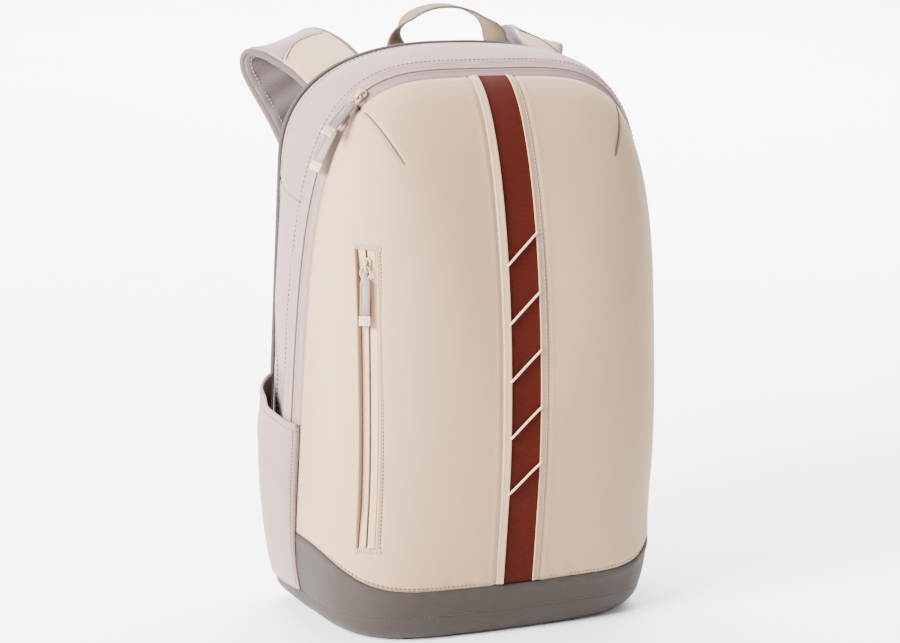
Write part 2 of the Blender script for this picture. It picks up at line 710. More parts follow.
def panel_lift(x, z):
    """Height of the front panel's relief over the plain dome."""
    reach, limit = dome_reach(x, z)
    depth = seam_y(z) - dome_y(x, z)
    from_arch = np.hypot(np.maximum(limit - reach, 0.0), depth)
    from_base = np.maximum(z - base_seam(x), 0.0)
    lift = -1.1 * (1.0 - np.clip(from_arch / 2.8, 0.0, 1.0)) ** 2
    lift = lift - 1.3 * (1.0 - np.clip(from_base / 2.8, 0.0, 1.0)) ** 2
    lift = lift + 0.55 * bump_at(np.minimum(from_arch, from_base), 7.0, 4.5)
    lift = lift - 0.25 * bump_at(np.minimum(from_arch, from_base), 3.2, 0.8)
    far = smooth(8.0, 40.0, from_arch)
    lift = lift + far * (0.45 * np.sin(x / 41.0 + 1.3) * np.sin(z / 57.0 + 0.4) + 0.22 * np.sin(x / 17.0 + z / 29.0))
    near = bump_at(from_base, 6.0, 7.0)
    lift = lift + near * 0.22 * np.sin(x / 3.1)
    lift = lift - 2.0 * (1.0 - smooth(19.8, 21.2, np.abs(x)))
    lift = lift - 0.35 * bump_at(np.abs(x), 22.0, 0.9) + 0.3 * bump_at(np.abs(x), 24.5, 2.0)
    for (x1, z1), (x2, z2) in DARTS:
        length = math.hypot(x2 - x1, z2 - z1)
        ux, uz = (x2 - x1) / length, (z2 - z1) / length
        along = (x - x1) * ux + (z - z1) * uz
        off = (x - x1) * uz - (z - z1) * ux
        within = smooth(-22.0, -14.0, along) * (1.0 - smooth(length - 9.0, length + 1.0, along))
        swell = 1.0 - smooth(length - 26.0, length + 18.0, along)
        lift = lift - within * 1.2 * bump_at(off, 0.0, 1.7) + swell * smooth(-30.0, 0.0, along) * 0.9 * bump_at(off, 0.0, 13.0)
    ends = smooth(SLOT_BOTTOM - 1.2, SLOT_BOTTOM + 0.8, z) * (1.0 - smooth(SLOT_TOP - 0.8, SLOT_TOP + 1.2, z))
    beside = smooth(SLOT_BOTTOM - 12.0, SLOT_BOTTOM + 6.0, z) * (1.0 - smooth(SLOT_TOP - 6.0, SLOT_TOP + 12.0, z))
    off = x - SLOT_X
    hole = smooth(-SLOT_HALF - 0.25, -SLOT_HALF + 0.15, off) * (1.0 - smooth(SLOT_HALF - 0.15, SLOT_HALF + 0.25, off))
    lips = 0.75 * bump_at(off, -SLOT_HALF - 1.1, 0.9) + 0.6 * bump_at(off, SLOT_HALF + 1.0, 0.9)
    seam = 0.45 * bump_at(off, 9.6, 0.8)
    sink = 5.2 + slot_sink(z)
    return lift + ends * (lips * (1.0 - hole) - sink * hole) - beside * seam


def front_columns():
    """Full-width columns, even along the domed surface, with extra ones at the slot and stripe."""
    angle = np.linspace(0.0, math.pi / 2.0, 2000)
    x = FRONT_HALF_WIDTH * np.sin(angle) ** (2.0 / DOME_SIDE_POWER)
    y = DOME_DEPTH * np.cos(angle) ** (2.0 / DOME_SIDE_POWER)
    walked = np.concatenate([[0.0], np.cumsum(np.hypot(np.diff(x), np.diff(y)))])
    half = np.interp(np.linspace(0.0, walked[-1], 124), walked, x)
    columns = list(np.concatenate([-half[:0:-1], half]))
    wanted = [sign * value for sign in (-1.0, 1.0) for value in (19.6, 20.2, 20.8, 21.4, 22.2)]
    wanted += [SLOT_X + sign * value for sign in (-1.0, 1.0) for value in (5.7, 5.9, 6.1, 6.4, 7.1, 8.2)]
    wanted += [SLOT_X + value for value in (9.0, 9.6, 10.3)]
    kept = [column for column in columns if min(abs(column - other) for other in wanted) > 0.35]
    return np.array(sorted(kept + wanted))


def make_front_panel():
    columns = front_columns()
    v = np.linspace(0.0, 1.0, 210)[:, None]
    power = (1.7 + 1.7 * smooth(50.0, 140.0, np.abs(columns)))[None, :]
    share = 1.0 - (1.0 - v) ** power
    low = base_seam(columns)[None, :]
    z = low + (front_edge_height(columns)[None, :] - low) * share
    x = columns[None, :] * tuck(z)
    item = grid("front_panel_cloth", on_dome(x, z, panel_lift(x, z)))
    lined(item, 2.0, "cream")
    place(item, "cream", slot="cream_coated_fabric", stands_for=("front_panel",), bend=ON_FLAP)


def dome_rows(x, count=190, low=0.002, high=0.996):
    v = np.linspace(low, high, count)
    share = 1.0 - (1.0 - v) ** 1.7
    return blend(base_seam(x), front_edge_height(x), share)


def make_stripe():
    x = np.linspace(-14.6, 14.6, 27)[None, :]
    z = dome_rows(0.0)[:, None]
    lift = 0.75 + 0.25 * (np.abs(x) / 14.6) ** 6 + 0.12 * np.sin(z / 13.0) * np.sin(x / 6.0)
    stripe = grid("stripe_tape_cloth", on_dome(x + 0.0 * z, z + 0.0 * x, lift))
    lined(stripe, 0.8, "red", "red")
    place(stripe, "red", slot="red_tape", stands_for=("stripe_tape",), bend=ON_FLAP)
    share = np.array((0.0, 0.08, 0.2, 0.35, 0.5, 0.65, 0.78, 0.88, 0.95, 1.0, 0.99, 0.92))
    height = np.array((-1.2, 0.1, 0.65, 0.9, 1.15, 1.4, 1.75, 2.0, 1.95, 1.55, 1.0, 0.8))
    for side, name in ((-1.0, "left"), (1.0, "right")):
        across = side * blend(CHANNEL_OUTER + 0.4, CHANNEL_INNER - 1.0, share)[None, :]
        points = on_dome(across + 0.0 * z, z + 0.0 * across, height[None, :] + 0.0 * z)
        band = grid(f"channel_edge_cloth_{name}", points)
        place(band, "cream", slot="cream_coated_fabric", stands_for=(f"channel_edge_{name}",), bend=ON_FLAP)
    for index in range(LACE_COUNT):
        middle = LACE_FIRST - LACE_STEP * index
        run = np.linspace(-0.5, 0.5, 25)
        lx = 2.0 * 14.9 * run
        lz = middle + LACE_RISE * run * 1.06
        lift = 2.75 - 1.0 * smooth(0.44, 0.5, np.abs(run))
        route = on_dome(lx, lz, lift)
        wide, out = cross_frames(route, (0.0, -1.0, 0.0))
        lace = sweep(f"stripe_lace_cord_{index + 1}", route, wide, out, round_profile(1.0, 10, 0.75))
        place(lace, "cord", FLAP, "cream_cord", (f"stripe_lace_{index + 1}",))


def make_flap_stitches():
    """The needle rows at the arch seam, the base seam, the stripe's edges and the pocket."""
    last = FRONT_ARCH.share_at(96.0)
    share = np.linspace(-last, last, 700)
    x, z = FRONT_ARCH.at(share)
    nx, nz = FRONT_ARCH.outward(share)
    off = -0.1 - 0.5 * np.maximum(nz, 0.0)
    rim = stack(x + nx * off, seam_y(z) - 3.2, z + nz * off)
    outward = stack(nx, -0.35, nz)
    arch_row = stitches("arch_seam_thread", [(rim, outward)], 1.9, 1.5, 0.46, 0.0)
    place(arch_row, "thread_dark", slot="cream_coated_fabric", bend=ON_FLAP)
    column = np.linspace(-152.0, 152.0, 500)
    height = base_seam(column) + 3.2
    column = column * tuck(height)
    row = stitches("base_seam_thread", [(on_dome(column, height), dome_normal(column, height))],
                   2.6, 1.2, 0.5, -0.15, 0.45)
    place(row, "thread_dark", slot="cream_coated_fabric", bend=ON_FLAP)
    rows = []
    height = dome_rows(0.0, 200, 0.01, 0.99)
    for side in (-1.0, 1.0):
        beside = side * 19.4 + 0.0 * height
        rows.append((on_dome(beside, height, 0.75), dome_normal(beside, height)))
    edges = stitches("channel_thread", rows, 2.2, 1.2, 0.3, 0.0)
    place(edges, "thread_cream", slot="cream_coated_fabric", bend=ON_FLAP)
    height = np.linspace(SLOT_TOP + 1.0, SLOT_BOTTOM - 1.0, 120)
    beside = SLOT_X + 9.6 + 0.0 * height
    side_row = stitches("pocket_seam_thread", [(on_dome(beside, height), dome_normal(beside, height))],
                        2.1, 1.1, 0.45, -0.25)
    place(side_row, "thread_dark", slot="cream_coated_fabric", bend=ON_FLAP)
    tacks = []
    for height, way in ((SLOT_TOP + 1.5, 1.0), (SLOT_BOTTOM - 1.5, -1.0)):
        for line in range(4):
            run = np.linspace(SLOT_X - 7.4, SLOT_X + 9.6, 12)
            level = height + way * (line - 1.5) * 0.8 + 0.0 * run
            tacks.append((on_dome(run, level, 0.35), dome_normal(run, level)))
    tack = stitches("pocket_bartacks", tacks, 1.5, 0.2, 0.45, 0.1, 0.5)
    place(tack, "thread_cream", slot="cream_coated_fabric", bend=ON_FLAP)
    lines = []
    for (x1, z1), (x2, z2) in DARTS:
        run = np.linspace(-0.16, 0.97, 50)
        dx, dz = blend(x1, x2, run), blend(z1, z2, run)
        route = on_dome(dx, dz, (panel_lift(dx - 2.2, dz) + panel_lift(dx + 2.2, dz)) / 2.0 - 0.1)
        wide, out = cross_frames(route, (0.0, -1.0, 0.3))
        lines.append(sweep_parts(route, wide, out, round_profile(0.48, 6)))
    verts, faces = [], []
    for part, part_faces, _ in lines:
        faces += [tuple(i + len(verts) for i in face) for face in part_faces]
        verts += list(part)
    place(closed("dart_threads", verts, faces), "thread_dark", FLAP, "cream_coated_fabric")


# ---------------------------------------------------------------- zips and sliders

def local_frame(where, along, out):
    out = (out - along * out.dot(along)).normalized()
    side = along.cross(out)
    return Matrix.Translation(where) @ Matrix((side, along, out)).transposed().to_4x4()


def vector(values):
    return Vector(tuple(float(part) for part in np.asarray(values).reshape(-1)[:3]))


def slot_frame():
    top = vector(on_dome(SLOT_X, SLOT_TOP))
    bottom = vector(on_dome(SLOT_X, SLOT_BOTTOM))
    middle = (SLOT_TOP + SLOT_BOTTOM) / 2.0
    out = vector(on_dome(SLOT_X, middle, 1.0)) - vector(on_dome(SLOT_X, middle))
    return local_frame(top, (bottom - top).normalized(), out)


def strip_frame(height):
    share = -FRONT_ARCH.share_at(height)
    reach = 7.35
    step = 12.0 / FRONT_ARCH.length
    along = (vector(strip_point(share - step, reach)) - vector(strip_point(share + step, reach))).normalized()
    nx, nz = (float(part) for part in FRONT_ARCH.outward(share))
    return local_frame(vector(strip_point(share, reach)), along, Vector((nx, -1.0, nz)))


def puller_frame(turn, base, hang_down, lift):
    where = turn @ Vector((0.0, 1.0, base + 3.4))
    out = turn.to_3x3().col[2]
    along = Vector(hang_down)
    along = (along - out * along.dot(out)).normalized()
    angle = math.radians(lift)
    return local_frame(where, along * math.cos(angle) + out * math.sin(angle), out)


def slider_shape(work, base):
    """A slider: shield-shaped body, side flanges and an arched bridge for the ring."""
    nose = [(-2.2, -6.2), (2.2, -6.2), (4.3, -3.6), (4.3, 0.5), (3.3, 5.6), (1.6, 6.2), (-1.6, 6.2),
            (-3.3, 5.6), (-4.3, 0.5), (-4.3, -3.6)]
    tapered_block(work, nose, base, base + 1.5, 0.5)
    for side in (-1.0, 1.0):
        soft_block(work, (1.0, 8.6, 1.9), (side * 3.6, -0.4, base + 0.7), 0.3, 2)
    steps = 14
    rings = []
    for index in range(steps + 1):
        angle = math.pi * index / steps
        y = 0.4 - 4.4 * math.cos(angle)
        z = base + 1.2 + 3.3 * math.sin(angle) ** 0.7
        thin = Vector((0.0, -math.cos(angle), math.sin(angle)))
        middle = Vector((0.0, y, z))
        width = 1.0 + 0.5 * abs(math.cos(angle))
        ring = [work.verts.new(middle + Vector((a * width, 0.0, 0.0)) + thin * b)
                for a, b in ((1.0, -0.45), (1.0, 0.3), (0.6, 0.5), (-0.6, 0.5), (-1.0, 0.3), (-1.0, -0.45))]
        rings.append(ring)
    for first, second in zip(rings, rings[1:]):
        for corner in range(6):
            after = (corner + 1) % 6
            work.faces.new((first[corner], first[after], second[after], second[corner]))
    work.faces.new(rings[0][::-1])
    work.faces.new(rings[-1])


def ring_shape(work):
    """The oval link through the bridge and the eye that carries the tab."""
    path = [(4.1 * math.sin(a), 4.7 - 5.2 * math.cos(a), 0.0)
            for a in np.linspace(0.0, 2.0 * math.pi, 28, endpoint=False)]
    loop_cord(work, path, 0.75)


def tab_shape(work):
    """The flat tab: a slim neck, a bevelled body and a shallow sunk panel."""
    outline = [(-2.0, 8.6), (2.0, 8.6), (3.9, 11.2), (4.2, 13.0), (4.2, 38.8), (-4.2, 38.8), (-4.2, 13.0), (-3.9, 11.2)]
    tapered_block(work, outline, -0.85, 0.85, 0.45)
    for side in (-1.0, 1.0):
        soft_block(work, (0.7, 24.0, 0.5), (side * 3.1, 26.0, 0.85), 0.2, 2)
    for level in (14.4, 37.6):
        soft_block(work, (6.4, 0.7, 0.5), (0.0, level, 0.85), 0.2, 2)


def tip_shape(work):
    soft_block(work, (9.4, 8.0, 2.4), (0.0, 43.2, 0.0), 0.8, 3)
    soft_block(work, (5.2, 3.4, 0.5), (0.0, 43.4, 1.2), 0.22, 2)


def make_puller(name, turn, body):
    place(framed(f"{name}_link", ring_shape, turn), "slider", body, "slider_enamel", (f"{name}_ring",))
    place(framed(f"{name}_grip", tab_shape, turn), "rubber", body, "puller_rubber", (f"{name}_tab",))
    place(framed(f"{name}_cap", tip_shape, turn), "tip", body, "puller_tip", (f"{name}_tip",))


def make_sliders():
    for name, height, hang_down, lift in (("zip_upper", 434.5, (-0.52, 0.0, -0.85), 13.0),
                                          ("zip_lower", 418.0, (-0.40, 0.0, -0.92), 0.0)):
        turn = strip_frame(height)
        base = 1.8
        place(framed(f"{name}_slider_body", lambda work: slider_shape(work, base), turn), "slider",
              f"{name}_slider", "slider_enamel", (f"{name}_slider",))
        make_puller(f"{name}_puller", puller_frame(turn, base, hang_down, lift), f"{name}_puller")
    turn = slot_frame() @ Matrix.Translation((0.0, SLIDER_START, 0.0))
    base = -2.4
    place(framed("pocket_slider_body", lambda work: slider_shape(work, base), turn), "slider",
          "pocket_slider", "slider_enamel", ("pocket_slider",))
    down = turn.to_3x3().col[1]
    make_puller("pocket_puller", puller_frame(turn, base, down, 4.0), "pocket_puller")


def make_pocket_zip():
    z = np.linspace(SLOT_BOTTOM - 0.5, SLOT_TOP + 0.5, 130)
    sink = (3.7 + slot_sink(z))[:, None]
    for name, low, high in (("left", -SLOT_HALF + 0.75, -0.5), ("right", 0.5, SLOT_HALF - 0.3)):
        off = np.linspace(low, high, 8)[None, :]
        rib = 0.35 * bump_at(np.abs(off), 1.4, 0.5)
        edge = -0.5 * bump_at(np.abs(off), 0.7, 0.35)
        points = on_dome(SLOT_X + off + 0.0 * sink, z[:, None] + 0.0 * off, rib + edge + 1.3 - sink)
        tape = grid(f"pocket_tape_{name}", points)
        lined(tape, 0.8, "welt", "welt")
        stands = ("pocket_zip_tape",) if name == "left" else ()
        place(tape, "welt", slot="lilac_tape", stands_for=stands, bend=ON_FLAP)
    for side, name in ((-1.0, "left"), (1.0, "right")):
        route = on_dome(SLOT_X + side * 0.42 + 0.0 * z, z, -4.7 - slot_sink(z))
        teeth = ridged_cord(f"pocket_teeth_{name}", route, 0.5, 1.3, (0.0, -1.0, 0.0))
        stands = ("pocket_zip_coil",) if name == "left" else ()
        place(teeth, "teeth", slot="zip_coil", stands_for=stands, bend=ON_FLAP)
    u = np.linspace(0.0, 1.0, 26)[None, :]
    v = np.linspace(0.0, 1.0, 34)[:, None]
    x, z = blend(-149.0, -30.0, u) + 0.0 * v, blend(66.0, 342.0, v) + 0.0 * u
    near = np.minimum(np.minimum(u, 1.0 - u) * 9.0, np.minimum(v, 1.0 - v) * 7.0)
    depth = blend(5.2, 18.6, smooth(0.0, 1.2, near)) + 0.8 * np.sin(x / 9.0 + z / 23.0) * np.clip(near, 0.0, 1.0)
    pouch = grid("pocket_pouch_cloth", on_dome(x, z, -depth), centre=(0.0, -300.0, 200.0))
    lined(pouch, 0.8, "lining")
    place(pouch, "lining", slot="dark_lining", stands_for=("pocket_pouch",), bend=ON_FLAP)


def make_main_zip():
    last = FRONT_ARCH.share_at(ZIP_FOOT - 32.0)
    share = np.linspace(-last, last, 420)[:, None]
    flap_reach = np.array((-2.4, -1.2, 0.0, 1.0, 2.2, 3.6, 4.8, 5.6, 6.2, 6.7, 6.9))[None, :]
    flap_lift = np.array((-1.6, -0.9, -0.2, 0.15, 0.2, 0.2, 0.3, 0.7, 1.0, 0.7, -0.1))[None, :]
    tape = grid("zip_tape_flap_cloth", strip_point(share + 0.0 * flap_reach, flap_reach, flap_lift + 0.0 * share))
    lined(tape, 0.8, "lilac_tape", "lilac_tape")
    place(tape, "lilac_tape", FLAP, "lilac_tape", ("zip_tape_flap",))
    body_reach = np.array((7.8, 8.0, 8.5, 9.1, 9.9, 11.0, 12.2, 13.4, 14.6, 15.6))[None, :]
    body_lift = np.array((-0.1, 0.7, 1.0, 0.7, 0.3, 0.2, 0.2, 0.1, -0.3, -0.9))[None, :]
    tape = grid("zip_tape_body_cloth", strip_point(share + 0.0 * body_reach, body_reach, body_lift + 0.0 * share))
    lined(tape, 0.8, "lilac_tape", "lilac_tape")
    place(tape, "lilac_tape", SHELL, "lilac_tape", ("zip_tape_body",))
    line = share[:, 0]
    for name, reach, body in (("flap", 6.75, FLAP), ("body", 7.95, SHELL)):
        route = strip_point(line, reach, -0.55)
        route, _ = resample(route, 0.75)
        hint = unit(route * np.array((1.0, 0.0, 1.0)) - np.array((0.0, 0.0, 200.0)) + np.array((0.0, -120.0, 0.0)))
        teeth = ridged_cord(f"zip_teeth_{name}", route, 0.62, 1.5, hint)
        place(teeth, "teeth", body, "zip_coil", (f"zip_coil_{name}",))


# ---------------------------------------------------------------- shell

def make_gussets():
    split = FRONT_ARCH.share_at(GUSSET_SPLIT)
    v = np.concatenate([[0.0, 0.012, 0.03], np.linspace(0.06, 0.78, 20), [0.795, 0.81, 0.825, 0.85, 0.89, 0.93, 0.955, 0.97, 0.985, 1.0]])[None, :]
    for name, low, high, count in (("top_gusset", -split, split, 300), ("side_panel_left", -1.0, -split, 130),
                                   ("side_panel_right", split, 1.0, 130)):
        share = np.linspace(low, high, count)[:, None]
        walk = share * FRONT_ARCH.length
        rise = 1.0 * smooth(0.0, 0.05, v) * smooth(1.0, 0.93, v)
        rise = rise - 0.8 * bump_at(v, GUSSET_ROW, 0.012)
        rumple = 0.5 * np.sin(walk / 23.0 + 3.0 * v) * np.sin(math.pi * v) + 0.2 * np.sin(walk / 7.3) * (1.0 - v) ** 3
        ends = np.minimum(np.abs(share - low), np.abs(share - high)) * FRONT_ARCH.length
        at_split = np.abs(np.abs(share) - split) * FRONT_ARCH.length
        seam = -0.9 * bump_at(at_split, 0.0, 1.6) + 0.5 * bump_at(at_split, 6.0, 4.0)
        lift = rise + rumple * smooth(0.0, 20.0, ends) + seam * np.sin(math.pi * v) ** 0.3
        points = gusset_point(share + 0.0 * v, v + 0.0 * share, lift)
        item = grid(f"{name}_cloth", points)
        lined(item, 1.5, "lilac")
        place(item, "lilac", SHELL, "lilac_fabric", (name,))
    last = BACK_ARCH.share_at(34.0)
    share = np.linspace(-last, last, 330)
    x, z = BACK_ARCH.at(share)
    nx, nz = BACK_ARCH.outward(share)
    route = stack(x + nx * 1.0, BACK_Y + 2.5, z + nz * 1.0)
    hint = stack(nx, 0.0, nz)
    wide, out = cross_frames(route, hint)
    piping = sweep("back_piping_cord", route, wide, out, round_profile(1.9, 12))
    place(piping, "piping", SHELL, "dark_lining", ("back_piping",))
    share = np.linspace(-0.9, 0.9, 800)
    row = gusset_point(share, GUSSET_ROW + 0.0 * share, 0.9 + 0.0 * share)
    nx, nz = FRONT_ARCH.outward(share)
    rows = [(row, stack(nx, 0.0, nz))]
    share = np.linspace(-FRONT_ARCH.share_at(ZIP_FOOT), FRONT_ARCH.share_at(ZIP_FOOT), 800)
    nx, nz = FRONT_ARCH.outward(share)
    rows.append((gusset_point(share, 0.055 + 0.0 * share, 0.95 + 0.0 * share), stack(nx, -0.4, nz)))
    thread = stitches("gusset_threads", rows, 2.6, 1.5, 0.52, 0.0)
    place(thread, "thread_lilac", SHELL, "lilac_fabric")


def wall_ring(share):
    width = FRONT_HALF_WIDTH * float(tuck(np.array(TRAY_HEIGHT)))
    if share < 0.5:
        x = -width * math.cos(math.pi * share / 0.5)
        return x, float(dome_y(x, TRAY_HEIGHT))
    if share < 0.62:
        return width + 1.5, blend(seam_y(TRAY_HEIGHT), TRAY_BACK_Y - 8.0, (share - 0.5) / 0.12)
    if share < 0.88:
        part = (share - 0.62) / 0.26
        edge = 1.0 - abs(2.0 * part - 1.0)
        corner = 8.0 * (1.0 - min(edge * 6.0, 1.0)) ** 2
        return width * (1.0 - 2.0 * part) * (1.0 - 0.05 * (1.0 - edge)), TRAY_BACK_Y - corner
    return -width - 1.5, blend(TRAY_BACK_Y - 8.0, seam_y(TRAY_HEIGHT), (share - 0.88) / 0.12)


def make_base():
    count, rows = 200, 18
    ring = np.array([wall_ring(index / count) for index in range(count)])
    for _ in range(3):
        ring = (np.roll(ring, 1, axis=0) + 2.0 * ring + np.roll(ring, -1, axis=0)) / 4.0
    points = []
    for scale in (0.12, 0.3, 0.5, 0.68, 0.76):
        points.append(stack(ring[:, 0] * scale, TRAY_CENTRE_Y + (ring[:, 1] - TRAY_CENTRE_Y) * scale, 0.0))
    for row in range(rows + 1):
        angle = math.pi / 2.0 * (1.0 - row / rows)
        scale = 1.0 - TRAY_INSET * (1.0 - math.cos(angle))
        z = (TRAY_HEIGHT + 1.0) * (1.0 - math.sin(angle))
        points.append(stack(ring[:, 0] * scale, TRAY_CENTRE_Y + (ring[:, 1] - TRAY_CENTRE_Y) * scale, z))
    tray = np.array(points)
    centre = np.array((0.0, TRAY_CENTRE_Y, 0.0))
    verts, faces, uvs = grid_parts(tray, wrap=True)
    verts = np.vstack([verts, centre])
    faces += [((index + 1) % count, index, len(verts) - 1) for index in range(count)]
    item = make_mesh("base_tray_cloth", verts, faces, verts[:, :2])
    turn_out(item, (0.0, -15.0, 120.0))
    lined(item, 1.8, "base")
    place(item, "base", SHELL, "base_fabric", ("base_tray",))
    columns = front_columns()[None, :]
    v = np.linspace(0.0, 1.0, 22)[:, None]
    z = blend(WALL_FOOT - 0.6, base_seam(columns) + 0.4, v)
    x = columns * tuck(z)
    from_top = base_seam(columns) - z
    lift = 0.7 * bump_at(from_top, 5.0, 4.0) - 1.4 * (1.0 - np.clip((from_top + 0.4) / 2.4, 0.0, 1.0)) ** 2
    lift = lift + 0.4 * np.sin(x / 27.0 + 0.7) * smooth(0.0, 0.5, v) + 0.2 * np.sin(x / 3.1) * bump_at(from_top, 4.0, 5.0)
    item = grid("base_panel_cloth", on_dome(x, z, lift))
    lined(item, 2.0, "base")
    place(item, "base", SHELL, "base_fabric", ("base_panel",))
    ring_x, ring_y = ring[:, 0] * 1.001, TRAY_CENTRE_Y + (ring[:, 1] - TRAY_CENTRE_Y) * 1.001
    route = stack(ring_x, ring_y, TRAY_HEIGHT + 0.6)
    route = np.vstack([route, route[:1]])
    outward = unit(route - np.array((0.0, TRAY_CENTRE_Y, TRAY_HEIGHT)))
    thread = stitches("tray_seam_thread", [(route, outward)], 2.4, 1.3, 0.4, -0.1)
    place(thread, "thread_lilac", SHELL, "base_fabric")


def pocket_point(u, v, side, inward=0.0):
    mouth = blend(POCKET_FRONT_MOUTH, POCKET_BACK_MOUTH, u) - 1.5 * np.sin(math.pi * u) ** 1.5
    z = blend(TRAY_HEIGHT + 1.0, mouth, v)
    front = FRONT_HALF_WIDTH * tuck(z) + 1.1
    back = BACK_HALF_WIDTH * tuck(z) + 3.2
    rise = np.sin(math.pi / 2.0 * np.minimum(v / 0.75, 1.0)) ** 1.5
    swell = 5.0 + (POCKET_BULGE - 5.0) * rise
    x = blend(front, back, u) + swell * np.maximum(np.sin(math.pi * u), 0.0) ** 0.6
    folds = 1.1 * np.sin(5.0 * math.pi * u + 1.5 * v) * smooth(0.0, 0.3, v) * np.sin(math.pi * u)
    folds = folds + 1.8 * bump_at(v - 0.25 * u, 0.62, 0.07) * np.sin(math.pi * u)
    folds = folds - 2.2 * bump_at(v, 1.0, 0.10) * np.sin(math.pi * u) ** 2
    x = x + folds - inward
    y = blend(seam_y(z) - 1.9, BACK_Y - 0.6, u) + inward * np.cos(math.pi * u)
    return stack(side * x, y, z)


def make_bottle_pockets():
    u = np.linspace(0.0, 1.0, 44)[None, :]
    v = np.linspace(0.0, 1.0, 60)[:, None]
    for side, name in ((-1.0, "left"), (1.0, "right")):
        points = pocket_point(u + 0.0 * v, v + 0.0 * u, side)
        item = grid(f"bottle_pocket_cloth_{name}", points, centre=(0.0, 28.0, 100.0))
        lined(item, 1.3, "lilac")
        place(item, "lilac", SHELL, "lilac_fabric", (f"bottle_pocket_{name}",))
        rim_share = np.linspace(0.01, 0.99, 60)
        rim = pocket_point(rim_share, np.ones(60), side, 0.65)
        wide, out = cross_frames(rim, (side, 0.0, 0.0))
        profile = [(-1.1, -3.4), (-1.3, 0.6), (-0.9, 1.5), (0.0, 1.9), (0.9, 1.5), (1.3, 0.6), (1.1, -3.4)]
        up = np.cross(wide, out)
        binding = sweep(f"pocket_binding_tape_{name}", rim, out, wide * np.sign(wide[:, 2:3]), profile)
        place(binding, "lilac_tape", SHELL, "lilac_tape", (f"pocket_binding_{name}",))
        rows = [(pocket_point(rim_share, 0.972 + 0.0 * rim_share, side, -0.1), stack(side + 0.0 * rim_share, 0.0, 0.0))]
        edge = np.linspace(0.04, 0.96, 80)
        rows.append((pocket_point(0.03 + 0.0 * edge, edge, side, -0.1), stack(side + 0.0 * edge, -0.8, 0.0)))
        thread = stitches(f"bottle_pocket_thread_{name}", rows, 2.2, 1.3, 0.36, 0.15)
        place(thread, "thread_lilac", SHELL, "lilac_fabric")
        del up


# ---------------------------------------------------------------- back and inside

def back_outline(inset, foot, count=120):
    last = BACK_ARCH.share_at(foot)
    share = np.linspace(-last, last, count + 1)
    x, z = BACK_ARCH.at(share)
    nx, nz = BACK_ARCH.outward(share)
    outline = np.stack([x - nx * inset, np.maximum(z - nz * inset, foot)], axis=1)
    floor = np.linspace(outline[-1, 0], outline[0, 0], 42)[1:-1]
    return np.vstack([outline, np.stack([floor, np.full(40, foot)], axis=1)])


def rounded_outline(x_low, x_high, z_low, z_high, radius, side=1.0, spacing=7.0):
    points = []
    for x, z, start in ((x_high - radius, z_low + radius, -90.0), (x_high - radius, z_high - radius, 0.0),
                        (x_low + radius, z_high - radius, 90.0), (x_low + radius, z_low + radius, 180.0)):
        for step in range(9):
            angle = math.radians(start + 90.0 * step / 8)
            points.append((side * (x + radius * math.cos(angle)), 0.0, z + radius * math.sin(angle)))
    points.append(points[0])
    route, _ = resample(points, spacing)
    return route[:-1, (0, 2)]


